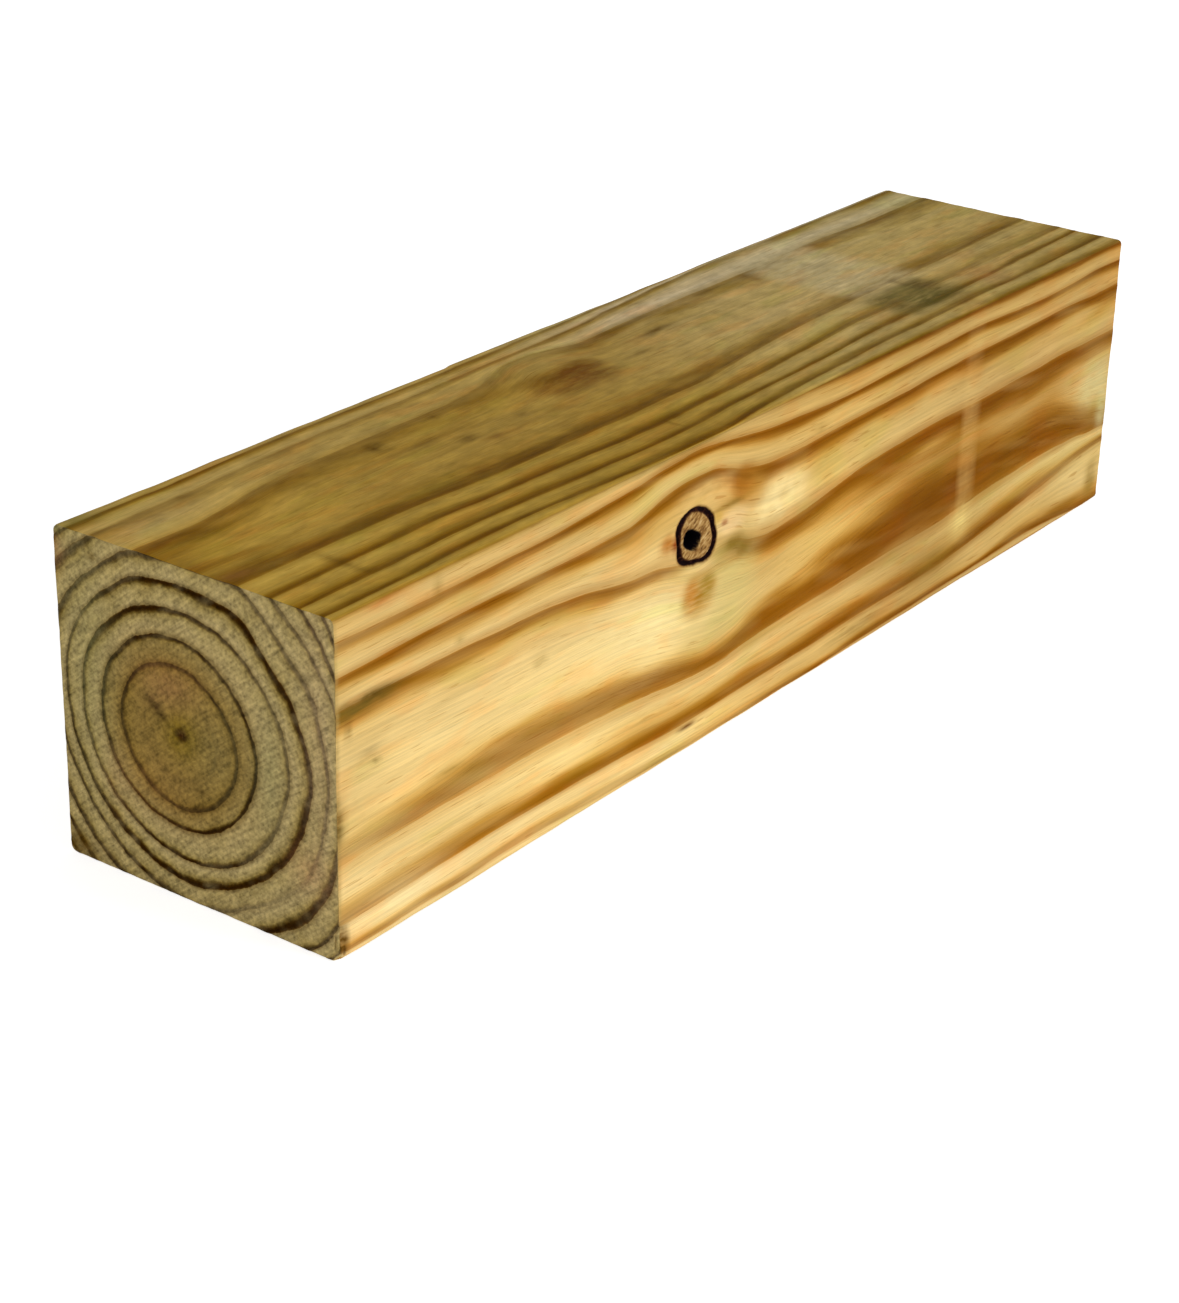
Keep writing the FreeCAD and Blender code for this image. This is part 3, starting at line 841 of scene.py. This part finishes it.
def fibred(paints, wood, fibre, hairs):
    """Lays the fibre's light and dark streaks, its warm and green places and its canals over the wood."""
    streaks = paints.noise(fibre, 0.010, 1.1, 1.1, centred=0.16)
    blotches = paints.noise(fibre, 0.03, 0.12, 0.12, centred=0.16)
    light = paints.math("ADD", paints.math("ADD", streaks, hairs), paints.math("ADD", blotches, 1.0))
    wood = paints.brightened(wood, light)
    warm = paints.span(paints.noise(fibre, 0.045, 0.16, 0.16), 0.5, 0.68, 0.0, 0.8)
    green = paints.span(paints.noise(fibre, 0.03, 0.11, 0.11), 0.46, 0.30, 0.0, 0.8)
    wood = paints.mix(warm, wood, WARM_TINT, "MULTIPLY")
    wood = paints.mix(green, wood, GREEN_TINT, "MULTIPLY")
    mottle = paints.noise(fibre, 0.14, 0.4, 0.4, detail=5.0, centred=0.42)
    mottle = paints.math("MULTIPLY_ADD", mottle, paints.layer("weathering_and_shade", "Fac"), 1.0)
    wood = paints.brightened(wood, mottle)
    canals = paints.span(paints.noise(fibre, 0.10, 2.6, 2.6, detail=1.0), 0.66, 0.74, 0.0, 0.5)
    return paints.mix(canals, wood, CANAL_TINT, "MULTIPLY")


def knotted(paints, wood):
    """Lays the dead knot over the wood: a stained halo, the bark, its inner rim, the disc, and the pit
    painted near black as its shade.
    """
    knot = paints.node("SeparateXYZ", {0: paints.layer("knot")}).outputs
    place = paints.place()
    ragged = paints.noise(place, 0.35, 0.35, 0.35, centred=0.4)
    bark_edge, wood_edge, pit_edge = (paints.math("ADD", rim, ragged) for rim in knot)
    sloping = paints.node("VectorRotate", {"Vector": place, "Angle": PIT_TILT}, rotation_type="Y_AXIS")
    grain = paints.noise(sloping.outputs[0], 0.45, 1.2, 1.2, detail=5.0)
    wood = paints.mix(paints.span(bark_edge, 0.9, -0.1, 0.0, 0.75), wood, BARK_STAIN)
    wood = paints.mix(paints.span(bark_edge, 0.25, -0.2), wood, paints.ramp(grain, BARK))
    wood = paints.mix(paints.span(wood_edge, 0.4, -0.3, 0.0, 0.8), wood, BARK_RIM)
    wood = paints.mix(paints.span(wood_edge, 0.1, -0.5), wood, paints.ramp(grain, KNOT_WOOD))
    # Painted shade: the pit is drawn near black.
    return paints.mix(paints.span(pit_edge, 0.45, -0.1), wood, PIT_PAINTED_SHADE)


def planed_pine():
    """Planed pine: the rings, their broad tones, the stains and the fibre, with the dead knot on top."""
    paints = Paints(bpy.data.materials.new("planed_pine"))
    fibre = paints.layer("fibre")
    slow = paints.noise(fibre, 0.02, 0.3, 0.3, detail=2.0, centred=0.55)
    fine = paints.noise(fibre, 0.03, 0.5, 0.5, detail=2.0, centred=0.4)
    phase, inwards, darkness = paints.latewood(paints.shifted_age(paints.math("ADD", slow, fine)))
    fresh = paints.ringed(phase, inwards, darkness, FRESH_RINGS, FRESH_PALE)
    weathered_and_shaded = paints.ringed(phase, inwards, darkness, WEATHERED_AND_SHADED_RINGS, WEATHERED_AND_SHADED_PALE)
    # The top face takes the darker copy: partly its weathered tone, partly painted shade.
    rings = paints.mix(paints.layer("weathering_and_shade", "Fac"), fresh, weathered_and_shaded)
    wood = paints.scaled(rings, paints.layer("tone"))
    patchy = paints.span(paints.noise(fibre, 0.15, 0.7, 0.7, detail=4.0), 0.3, 0.65, 0.72, 1.1)
    hairs = paints.noise(fibre, 0.05, 3.0, 3.0, detail=4.0, centred=0.26)
    wood = knotted(paints, fibred(paints, paints.stained(wood, patchy), fibre, hairs))
    height = paints.math("ADD", hairs, paints.span(inwards, 0.3, 0.1, 0.0, 0.2))
    return paints.finish(wood, roughness=0.6, height=height, depth=0.2 * MM)


def sawn_end_grain():
    """Pine sawn across: dark rings on greyed wood round a darker heart, roughened by the saw."""
    paints = Paints(bpy.data.materials.new("sawn_end_grain"))
    place = paints.place()
    slow = paints.noise(place, 0.15, 0.15, 0.15, detail=2.0, centred=0.6)
    fine = paints.noise(place, 0.8, 0.8, 0.8, centred=0.3)
    age = paints.shifted_age(paints.math("ADD", slow, fine))
    rings = paints.ringed(*paints.latewood(age), SAWN_RINGS, SAWN_PALE)
    heart = paints.mix(paints.span(age, 4.8, 2.9), rings, HEART_TINT, "MULTIPLY")
    patchy = paints.span(paints.noise(place, 0.7, 0.7, 0.7), 0.3, 0.65, 0.8, 1.1)
    specks = paints.noise(place, 0.9, 0.9, 0.9, detail=6.0, centred=0.8)
    turned = paints.node("VectorRotate", {"Vector": place, "Angle": SAW_MARKS_TURN}, rotation_type="X_AXIS")
    scratches = paints.noise(turned.outputs[0], 1.0, 0.14, 1.3, detail=4.0, centred=0.6)
    rough = paints.math("ADD", specks, scratches)
    wood = paints.brightened(paints.stained(heart, patchy), paints.math("ADD", rough, 1.0))
    return paints.finish(wood, roughness=0.8, height=rough, depth=0.3 * MM)


# ---- the post

def placed(name, data):
    """Puts a mesh, a lamp or a camera in the scene, at the origin."""
    thing = bpy.data.objects.new(name, data)
    bpy.context.scene.collection.objects.link(thing)
    return thing


post = placed("timber", timber())
post.data.materials.append(planed_pine())
post.data.materials.append(sawn_end_grain())
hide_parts("post")
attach(post, "root")


# ---- floor, light and camera

WHITE = (1, 1, 1, 1)
FLOOR_GREY = (0.8, 0.8, 0.8, 1)
FLOOR_HALF_WIDTH = 6.0
FLOOR_GLOW = 0.7
EVEN_LIGHT = 0.35


def studio_floor():
    """A plain pale floor. It glows a little where the camera sees it, so that it meets the backdrop."""
    half = FLOOR_HALF_WIDTH
    mesh = bpy.data.meshes.new("floor")
    corners = [(-half, -half, 0), (half, -half, 0), (half, half, 0), (-half, half, 0)]
    mesh.from_pydata(corners, [], [(0, 1, 2, 3)])
    paints = Paints(bpy.data.materials.new("pale_floor"))
    diffuse = paints.node("BsdfDiffuse", {"Color": FLOOR_GREY})
    strength = paints.math("MULTIPLY", paints.seen(), FLOOR_GLOW)
    glow = paints.node("Emission", {"Color": WHITE, "Strength": strength})
    both = paints.node("AddShader", {0: diffuse.outputs[0], 1: glow.outputs[0]})
    paints.node("OutputMaterial", {"Surface": both.outputs[0]})
    mesh.materials.append(paints.owner)
    return placed("floor", mesh)


def backdrop():
    """White where the camera or a reflection sees it, and a weaker even light everywhere else."""
    world = bpy.data.worlds.new("backdrop")
    bpy.context.scene.world = world
    paints = Paints(world)
    strength = paints.span(paints.seen(), 0.0, 1.0, EVEN_LIGHT, 1.0)
    background = paints.node("Background", {"Color": WHITE, "Strength": strength})
    paints.node("OutputWorld", {"Surface": background.outputs[0]})


# Each lamp: its name, where it stands (degrees round from -Y towards +X, and up), how far off and how wide
# it is in metres, and how bright it makes a white surface that faces it, as a share of full white.
LAMPS = [
    ("front_lamp", 20, 20, 2.0, 1.2, 0.70),
    ("end_lamp", -85, 15, 2.0, 1.2, 0.36),
]


def turned(azimuth, elevation):
    """The direction that lies this many degrees round from -Y towards +X, and this many degrees up."""
    azimuth, elevation = math.radians(azimuth), math.radians(elevation)
    level = math.cos(elevation)
    return Vector((math.sin(azimuth) * level, -math.cos(azimuth) * level, math.sin(elevation)))


def put_lamps():
    """Square soft lamps. A lamp's watts are pi squared times its share times its distance squared."""
    for name, azimuth, elevation, distance, width, share in LAMPS:
        lamp = bpy.data.lights.new(name, "AREA")
        lamp.size = width
        lamp.energy = math.pi ** 2 * share * distance ** 2
        away = turned(azimuth, elevation)
        facing = away.to_track_quat("Z", "Y").to_matrix().to_4x4()
        placed(name, lamp).matrix_world = Matrix.Translation(away * distance) @ facing


CAMERA_AZIMUTH, CAMERA_ELEVATION, CAMERA_ROLL = -54.15, 24.86, 1.457
CAMERA_TARGET, CAMERA_DISTANCE, CAMERA_LENS = (-0.0324, 0.0, 0.01122), 0.81078, 79.70


def put_camera():
    """The camera stands off its target along a direction, and leans a little about its own axis."""
    away = turned(CAMERA_AZIMUTH, CAMERA_ELEVATION)
    level = (-away).cross(Vector((0, 0, 1))).normalized()
    upright = away.cross(level)
    lean = math.radians(CAMERA_ROLL)
    across = level * math.cos(lean) + upright * math.sin(lean)
    up = upright * math.cos(lean) - level * math.sin(lean)
    lens = bpy.data.cameras.new("camera")
    lens.lens = CAMERA_LENS
    camera = placed("camera", lens)
    camera.matrix_world = (Matrix.Translation(Vector(CAMERA_TARGET) + away * CAMERA_DISTANCE)
                           @ Matrix((across, up, away)).transposed().to_4x4())
    bpy.context.scene.camera = camera


studio_floor()
backdrop()
put_lamps()
put_camera()
bpy.context.scene.view_settings.view_transform = "Standard"
